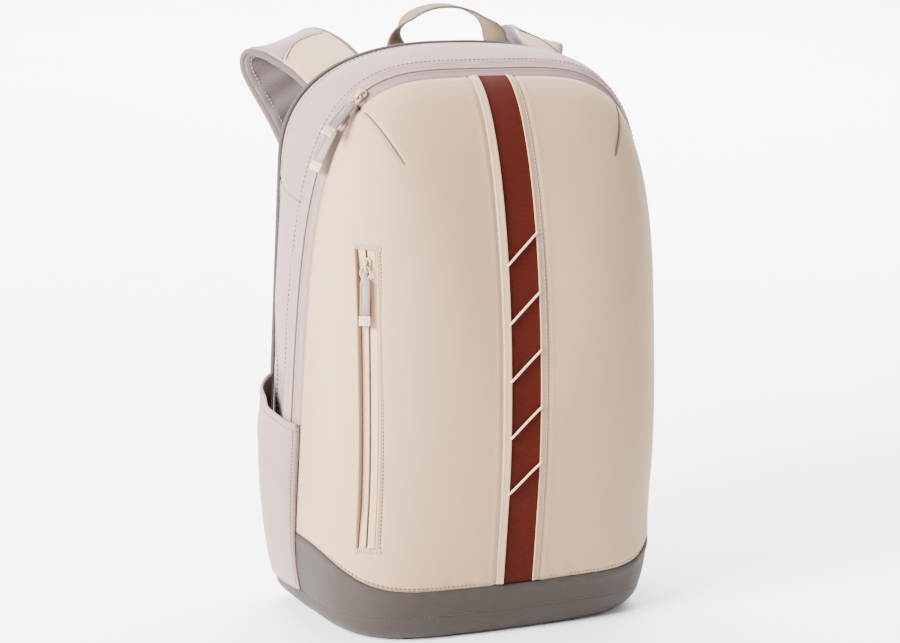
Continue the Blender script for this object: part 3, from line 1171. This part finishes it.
def make_back():
    face = BACK_Y + 0.3
    panel = pillow("back_panel_cloth", back_outline(1.6, 24.0), face, 3.0, 9.0)
    place(panel, "back_mesh", SHELL, "back_mesh", ("back_panel",))

    def channels(places):
        groove = np.zeros(len(places))
        for height in (120.0, 178.0, 236.0, 294.0, 346.0):
            groove = groove + bump_at(places[:, 1], height + 0.10 * np.abs(places[:, 0]), 4.5)
        return 1.0 - 0.68 * np.clip(groove, 0.0, 1.0)

    for side, name in ((-1.0, "left"), (1.0, "right")):
        pad = pillow(f"back_pad_cushion_{name}", rounded_outline(10.0, 82.0, 62.0, 392.0, 16.0, side, 4.0),
                     BACK_Y + 3.6, 11.4, 17.0, 12, channels)
        place(pad, "back_mesh", SHELL, "back_mesh", (f"back_pad_{name}",))
    yoke_corners = [(-118.0, 402.0), (118.0, 402.0), (112.0, 442.0), (70.0, 459.0), (-70.0, 459.0), (-112.0, 442.0)]
    route, _ = resample([(x, 0.0, z) for x, z in [*yoke_corners, yoke_corners[0]]], 5.0)
    outline = route[:-1, (0, 2)]
    yoke = pillow("strap_yoke_cloth", outline, BACK_Y + 3.3, 2.6, 4.0)
    place(yoke, "lilac", SHELL, "lilac_fabric", ("strap_yoke",))
    inner = outline.mean(axis=0) + (outline - outline.mean(axis=0)) * 0.955
    line = stack(inner[:, 0], BACK_Y + 5.9, inner[:, 1])
    line = np.vstack([line, line[:1]])
    rows = [(line, np.tile((0.0, 1.0, 0.0), (len(line), 1)))]
    thread = stitches("yoke_thread", rows, 2.4, 1.4, 0.4, 0.0)
    place(thread, "thread_lilac", SHELL, "lilac_fabric")
    for side, name in ((-1.0, "left"), (1.0, "right")):
        corners = [(88.0, 26.0), (126.0, 26.0), (115.0, 60.0), (93.0, 60.0)]
        route, _ = resample([(side * x, 0.0, z) for x, z in [*corners, corners[0]]], 3.0)
        tab = pillow(f"strap_tab_cloth_{name}", route[:-1, (0, 2)], BACK_Y + 3.3, 2.6, 3.0)
        place(tab, "lilac", SHELL, "lilac_fabric", (f"strap_tab_{name}",))
        box = [(side * x, 65.4, z) for x, z in ((94.0, 32.0), (119.0, 32.0), (112.0, 54.0), (96.0, 54.0), (94.0, 32.0),
                                                (112.0, 54.0), (96.0, 54.0), (119.0, 32.0))]
        box, _ = resample([(x, BACK_Y + 5.9, z) for x, _, z in box], 2.0)
        cross = stitches(f"strap_tab_thread_{name}", [(box, np.tile((0.0, 1.0, 0.0), (len(box), 1)))], 2.2, 1.0, 0.4, 0.0)
        place(cross, "thread_lilac", SHELL, "lilac_fabric")
    x = np.linspace(-143.0, 143.0, 60)[None, :]
    z = np.linspace(9.0, 300.0, 60)[:, None]
    corner = 18.0
    y = 30.3 + 0.5 * np.sin(x / 31.0) * np.sin(z / 43.0)
    inset = corner * (1.0 - np.sqrt(np.clip(1.0 - np.clip((corner - np.minimum(z - 9.0, 300.0 - z)) / corner, 0.0, 1.0) ** 2,
                                            0.0, 1.0)))
    x = x * (1.0 - inset / 143.0)
    sleeve = grid("divider_sleeve_cloth", stack(x, y + 0.0 * x, z + 0.0 * x), centre=(0.0, 100.0, 150.0))
    lined(sleeve, 3.2, "lining")
    place(sleeve, "lining", SHELL, "dark_lining", ("divider_sleeve",))
    route = stack(np.linspace(-126.0, 126.0, 60), 32.0, 300.4)
    wide, out = cross_frames(route, (0.0, 0.0, 1.0))
    edge = sweep("divider_binding", route, wide, out, [(2.4, -7.0), (2.6, 0.6), (1.4, 1.7), (-1.4, 1.7), (-2.6, 0.6), (-2.4, -7.0)])
    place(edge, "lilac_tape", SHELL, "lilac_tape")
    for node, look in (("frame_sheet", "board"), ("base_board", "board")):
        item = frame["nodes"][node]
        item.data.materials.clear()
        item.data.materials.append(M[look])


# ---------------------------------------------------------------- handle and straps

def make_handle():
    count = 72
    angle = np.linspace(0.0, math.pi, count + 1)
    rise = np.maximum(np.sin(angle), 0.0) ** 0.8
    x = -48.0 * np.cos(angle)
    route = stack(x, blend(66.6, 80.0, rise), blend(461.0, 500.5, rise))
    along = unit(np.gradient(route, axis=0))
    turn = smooth(0.0, 0.75, np.sin(angle))[:, None] * math.pi / 2.0
    flat = unit(np.cross(along, np.array((0.0, -1.0, 0.0))))
    back = np.array((0.0, 1.0, 0.0)) - along * along[:, 1:2]
    back = unit(back)
    wide = unit(flat * np.cos(turn) + back * np.sin(turn))
    foot = np.array([(side * (48.5 - 0.0), 66.6, z) for side in (-1.0,) for z in (452.0, 456.0, 459.5)])
    left = foot
    right = foot[::-1] * np.array((-1.0, 1.0, 1.0))
    route = np.vstack([left, route, right])
    first, last = wide[0], wide[-1]
    wide = np.vstack([np.tile(first, (3, 1)), wide, np.tile(last, (3, 1))])
    along = unit(np.gradient(route, axis=0))
    out = unit(np.cross(wide, along))
    handle = sweep("grab_handle_webbing", route, wide, out, band_profile(2.2, 0.05), 20.0)
    start, end = (0.0, 0.0666, 0.4535), (0.0, 0.0666, 0.4680)
    place(handle, "ivory", slot="ivory_webbing", stands_for=("grab_handle",), bend=(SHELL, "grab_handle", start, end))
    for side, name in ((-1.0, "left"), (1.0, "right")):
        route = stack(side * 48.5, 65.6, np.linspace(434.6, 458.0, 12))
        wide = np.tile((1.0, 0.0, 0.0), (12, 1))
        out = np.tile((0.0, 1.0, 0.0), (12, 1))
        pad = sweep(f"handle_foot_webbing_{name}", route, wide, out, band_profile(2.4, 0.05), 20.0)
        place(pad, "ivory", SHELL, "ivory_webbing", (f"handle_foot_{name}",))
        cx = side * 48.5
        line = [(cx - 7.5, 66.9, 437.0), (cx + 7.5, 66.9, 437.0), (cx + 7.5, 66.9, 452.0), (cx - 7.5, 66.9, 452.0),
                (cx - 7.5, 66.9, 437.0), (cx + 7.5, 66.9, 452.0), (cx - 7.5, 66.9, 452.0), (cx + 7.5, 66.9, 437.0)]
        line, _ = resample(line, 1.5)
        thread = stitches(f"handle_foot_thread_{name}", [(line, np.tile((0.0, 1.0, 0.0), (len(line), 1)))], 2.0, 0.9, 0.38, 0.0)
        place(thread, "thread_cream", SHELL, "ivory_webbing")


STRAP_ROUTE = (
    (-101.5, 73.0, 445.0), (-106.0, 97.0, 455.0), (-113.5, 120.0, 462.0), (-119.5, 136.0, 463.0),
    (-124.0, 148.0, 457.0), (-124.5, 150.5, 446.0), (-120.0, 140.0, 430.0), (-111.5, 121.0, 405.0),
    (-103.5, 107.0, 378.0), (-99.5, 101.5, 347.0), (-98.5, 101.0, 311.0), (-98.0, 101.0, 270.0),
    (-99.0, 99.0, 232.0), (-100.0, 96.0, 195.0))
STRAP_COUNT = 224


def smooth_route(points, count):
    dense = []
    padded = [points[0] * 2.0 - points[1], *points, points[-1] * 2.0 - points[-2]]
    for index in range(len(points) - 1):
        p0, p1, p2, p3 = padded[index:index + 4]
        for t in np.arange(16) / 16.0:
            dense.append(0.5 * (2.0 * p1 + (p2 - p0) * t + (2.0 * p0 - 5.0 * p1 + 4.0 * p2 - p3) * t * t
                                + (3.0 * p1 - p0 - 3.0 * p2 + p3) * t ** 3))
    dense.append(points[-1])
    dense = np.array(dense)
    walked = np.concatenate([[0.0], np.cumsum(np.linalg.norm(np.diff(dense, axis=0), axis=1))])
    goal = np.linspace(0.0, walked[-1], count + 1)
    return np.stack([np.interp(goal, walked, dense[:, i]) for i in range(3)], axis=1)


def strap_frames(side):
    route = smooth_route([np.array((-side * x, y, z)) for x, y, z in STRAP_ROUTE], STRAP_COUNT)
    share = np.arange(STRAP_COUNT + 1) / STRAP_COUNT
    along = unit(np.gradient(route, axis=0))
    droop = blend(blend(-0.62, -0.36, smooth(0.0, 0.2, share)), -0.04, smooth(0.22, 0.5, share))
    wide = stack(side, 0.0, droop)
    wide = unit(wide - along * np.sum(wide * along, axis=1, keepdims=True))
    normals = np.cross(wide, along) * side
    widths = np.where(share < 0.25, blend(51.0, 56.0, smooth(0.0, 0.25, share)), blend(56.0, 42.0, smooth(0.5, 1.0, share)))
    return route, wide * side, normals, widths, share


def strap_surface(parts, low, high, across, lift):
    """Points of a strap between two shares of its length, which may change across it."""
    route, wide, normals, widths, share = parts
    at = low + (high - low) * np.linspace(0.0, 1.0, lift.shape[0])[:, None] + 0.0 * across[None, :]
    index = at * STRAP_COUNT
    source = np.arange(STRAP_COUNT + 1)

    def pick(values):
        return np.stack([np.interp(index, source, values[:, i]) for i in range(3)], axis=-1)
    width = np.interp(index, source, widths)
    return pick(route) + pick(wide) * (width * across[None, :])[..., None] + pick(normals) * lift[..., None]


def make_strap(side, name):
    parts = strap_frames(side)
    route, wide, normals, widths, share = parts
    body = f"strap_{name}"
    anchor = np.array((side * 101.5, 66.0, 441.0))
    across = np.linspace(-0.5, 0.5, 25)
    edge = np.clip((0.5 - np.abs(across)) / 0.09, 0.0, 1.0)
    crown = -1.5 + 5.2 * np.sqrt(1.0 - (1.0 - edge) ** 2)
    seam_at = 0.122 + 0.030 * np.cos(math.pi * across)

    def skin(label, low, high, count, look, slot, stands, top=0.0):
        t = np.linspace(0.0, 1.0, count)[:, None]
        at = low + (high - low) * t
        run = at * 560.0
        near = np.minimum(t, 1.0 - t) * count
        quilt = 0.35 * np.sin(run / 11.0 + 2.0 * across) * edge + 0.25 * np.sin(run / 4.7) * bump_at(np.abs(across), 0.42, 0.05)
        lift = crown + top + quilt * smooth(0.0, 6.0, near) - 1.2 * (1.0 - smooth(0.0, 3.0, near))
        points = strap_surface(parts, low, high, across, lift + 0.0 * t)
        item = grid(label, points, centre=tuple(route[60] * np.array((1.0, 0.6, 0.86))))
        lined(item, 1.6, look, look)
        return item, lift, points, slot, stands

    bend = (SHELL, body, (0.0, 0.066, 0.4), (0.0, 0.088, 0.4))
    cap, *_ = skin(f"strap_cap_cloth_{name}", 0.0, seam_at[None, :], 70, "cream", None, None, 0.25)
    place(cap, "cream", slot="cream_coated_fabric", stands_for=(f"strap_cap_{name}",), bend=bend)
    pad, *_ = skin(f"strap_pad_cloth_{name}", seam_at[None, :] - 0.004, 1.0, 240, "lilac", None, None)
    place(pad, "lilac", body, "lilac_fabric", (f"strap_pad_{name}",))
    low, high = 0.0, 1.0
    t = np.linspace(0.0, 1.0, 300)[:, None]
    wrinkle = 1.5 * np.sin(t * 95.0 + 3.0 * across) * smooth(0.24, 0.3, t) * (1.0 - smooth(0.45, 0.6, t)) * edge
    under = -5.0 - 2.4 * np.sqrt(1.0 - (1.0 - edge) ** 2) + wrinkle
    points = strap_surface(parts, low, high, across * 0.985, under)
    lining = grid(f"strap_mesh_cloth_{name}", points)
    for face_centre in (tuple(route[60] * np.array((1.0, 0.6, 0.86))),):
        turn_out(lining, face_centre)
    lining.data.flip_normals()
    lined(lining, 1.2, "under_mesh", "under_mesh")
    place(lining, "under_mesh", slot="dark_lining", stands_for=(f"strap_lining_{name}",), bend=bend)
    rows, under_rows = [], []
    for sign, edge_name in ((-1.0, "inner"), (1.0, "outer")):
        line = route + wide * (widths * 0.5 * sign)[:, None]
        out = wide * sign
        profile = [(-2.8, -3.2), (-3.1, -1.2), (-2.9, 1.0), (-2.0, 1.9), (0.0, 2.0), (2.0, 1.9), (2.9, 1.0), (3.1, -1.2), (2.8, -3.2)]
        binding = sweep(f"strap_binding_{edge_name}_{name}", line - normals * 1.2, normals, out, profile)
        place(binding, "strap_edge", slot="lilac_tape", bend=bend)
        inset = route + wide * (widths * 0.5 * sign - sign * 4.2)[:, None] + normals * 3.3
        rows.append((inset[4:], normals[4:]))
        beneath = strap_surface(parts, 0.03, 0.97, np.array((sign * 0.40,)), np.full((STRAP_COUNT, 1), -7.9))[:, 0]
        under_rows.append((beneath, -normals[:STRAP_COUNT]))
    thread = stitches(f"strap_edge_thread_{name}", rows, 2.3, 1.3, 0.4, 0.0)
    place(thread, "thread_lilac", slot="lilac_fabric", bend=bend)
    thread = stitches(f"strap_mesh_thread_{name}", under_rows, 2.3, 1.3, 0.45, 0.0)
    place(thread, "lilac", slot="lilac_fabric", bend=bend)
    arc = strap_surface(parts, seam_at[None, :] - 0.006, seam_at[None, :] - 0.006, across * 0.9, np.full((1, 25), 1.0) * (crown + 0.55))[0]
    arc_thread = stitches(f"strap_arc_thread_{name}", [(arc, np.tile(normals[40], (25, 1)))], 2.4, 0.4, 0.6, 0.1)
    place(arc_thread, "thread_dark", slot="lilac_fabric", body=body)
    make_strap_foot(side, name, parts, body)
    del anchor


def make_strap_foot(side, name, parts, body):
    """The buckle under the pad, the webbing through it and its loose end."""
    route, wide, normals, widths, share = parts
    end = vector(route[-1])
    foot = Vector((side * 104.0, 67.6, 62.0))
    down = (foot - end).normalized()
    out = vector(normals[-1])
    turn = local_frame(end, down, out - down * out.dot(down))

    def buckle_shape(work):
        soft_block(work, (28.0, 3.2, 4.6), (0.0, 4.2, 0.0), 1.1)
        soft_block(work, (28.0, 3.6, 5.0), (0.0, 12.4, 0.3), 1.2)
        soft_block(work, (28.0, 4.0, 4.0), (0.0, 20.6, -0.2), 1.1)
        for sign in (-1.0, 1.0):
            soft_block(work, (3.6, 19.6, 4.4), (sign * 12.3, 12.5, 0.0), 1.0)
    place(framed(f"ladder_lock_frame_{name}", buckle_shape, turn), "buckle", body, "buckle_plastic", (f"ladder_lock_{name}",))
    axis, side_way, up = (np.array(turn.to_3x3().col[i]) for i in (1, 0, 2))
    start = np.array(end)
    run = (foot - end).length
    shares = [(8.0, 0.3), (10.0, 2.6), (13.0, 3.6), (16.0, 2.4), (19.0, -0.4), (23.0, -0.4)]
    shares += [(value, -0.3 + 0.5 * math.sin(value / 19.0)) for value in np.linspace(28.0, run - 6.0, 26)]
    shares += [(run - 1.5, -0.2), (run + 2.5, 0.0)]
    line = np.array([start + axis * a + up * b for a, b in shares])
    line, _ = resample(line, 2.5)
    cross = np.tile(side_way, (len(line), 1))
    outward = unit(np.cross(cross, unit(np.gradient(line, axis=0))))
    web = sweep(f"strap_webbing_band_{name}", line, cross, outward, band_profile(1.6, 0.05), 20.0)
    where = Vector(line[-1]) * MM
    near = Vector(line[-9]) * MM
    place(web, "lilac_tape", slot="lilac_tape", stands_for=(f"strap_webbing_{name}",), bend=(SHELL, body, where, near))
    tail = [(12.0, 3.2), (15.0, 4.6), (20.0, 5.0), (28.0, 5.4), (38.0, 5.0), (50.0, 4.2), (60.0, 3.2), (66.0, 3.0)]
    line = np.array([start + axis * a + up * b for a, b in tail])
    line, _ = resample(line, 2.5)
    cross = np.tile(side_way, (len(line), 1))
    outward = unit(np.cross(cross, unit(np.gradient(line, axis=0))))
    place(sweep(f"strap_webbing_tail_{name}", line, cross, outward, band_profile(1.6, 0.05), 20.0), "lilac_tape", body, "lilac_tape")


# ---------------------------------------------------------------- floor, light and camera

FLOOR_HALF = 12000.0


def make_stage():
    line = np.linspace(-FLOOR_HALF, FLOOR_HALF, 15)
    points = stack(line[None, :], line[:, None], 0.0)
    floor = grid("studio_floor", points, centre=(0.0, 0.0, -5000.0))
    nodes = Nodes("studio_paper")
    tint = nodes.ramp(nodes.noise(3.0), ((0.3, (0.90, 0.90, 0.90)), (0.7, (0.93, 0.93, 0.93))))
    nodes.join(tint, nodes.shader.inputs["Base Color"])
    nodes.shader.inputs["Roughness"].default_value = 0.9
    floor.data.materials.append(nodes.material)
    world = bpy.data.worlds.new("studio")
    world.use_nodes = True
    sky = next(node for node in world.node_tree.nodes if node.type == "BACKGROUND")
    sky.inputs["Color"].default_value = (1.0, 1.0, 1.0, 1.0)
    sky.inputs["Strength"].default_value = 0.32
    bpy.context.scene.world = world


def add_lamp(name, where, aim, size, power, colour=(1.0, 1.0, 1.0)):
    lamp = bpy.data.lights.new(name, "AREA")
    lamp.shape = "RECTANGLE"
    lamp.size, lamp.size_y = size
    lamp.energy = power
    lamp.color = colour
    item = bpy.data.objects.new(name, lamp)
    item.location = where
    item.rotation_euler = (Vector(aim) - Vector(where)).to_track_quat("-Z", "Y").to_euler()
    bpy.context.scene.collection.objects.link(item)


def make_lights():
    add_lamp("key", (-2.4, -0.65, 1.3), (0.0, 0.0, 0.25), (1.1, 1.1), 480.0, (1.0, 0.99, 0.97))
    add_lamp("fill", (1.0, -2.2, 0.9), (0.0, 0.0, 0.25), (1.4, 1.8), 4.0)
    add_lamp("rim", (2.1, -0.2, 0.9), (0.1, 0.0, 0.25), (0.8, 1.4), 20.0)
    add_lamp("top", (0.1, 0.5, 2.0), (0.0, 0.0, 0.2), (1.6, 1.6), 14.0)
    add_lamp("floor", (1.7, 3.2, 2.6), (1.7, 3.2, 0.0), (5.0, 5.0), 1500.0)


def make_camera():
    azimuth, elevation, roll = (math.radians(value) for value in (-27.9, 13.3, 2.87))
    back = Vector((math.sin(azimuth) * math.cos(elevation), -math.cos(azimuth) * math.cos(elevation), math.sin(elevation)))
    right = (-back).cross(Vector((0.0, 0.0, 1.0))).normalized()
    up = right.cross(-back).normalized()
    turned_right = right * math.cos(roll) + up * math.sin(roll)
    turned_up = up * math.cos(roll) - right * math.sin(roll)
    camera = bpy.data.cameras.new("camera")
    camera.sensor_width = 36.0
    camera.lens = 106.84
    item = bpy.data.objects.new("camera", camera)
    turn = Matrix((turned_right, turned_up, back)).transposed().to_4x4()
    item.matrix_world = Matrix.Translation(Vector((-0.0206, 0.0, 0.2449)) + back * 2.245) @ turn
    bpy.context.scene.collection.objects.link(item)
    bpy.context.scene.camera = item


make_camera()
make_stage()
make_lights()
make_front_panel()
make_stripe()
make_flap_stitches()
make_pocket_zip()
make_main_zip()
make_sliders()
make_gussets()
make_base()
make_bottle_pockets()
make_back()
make_handle()
for strap_side, strap_name in ((-1.0, "left"), (1.0, "right")):
    make_strap(strap_side, strap_name)
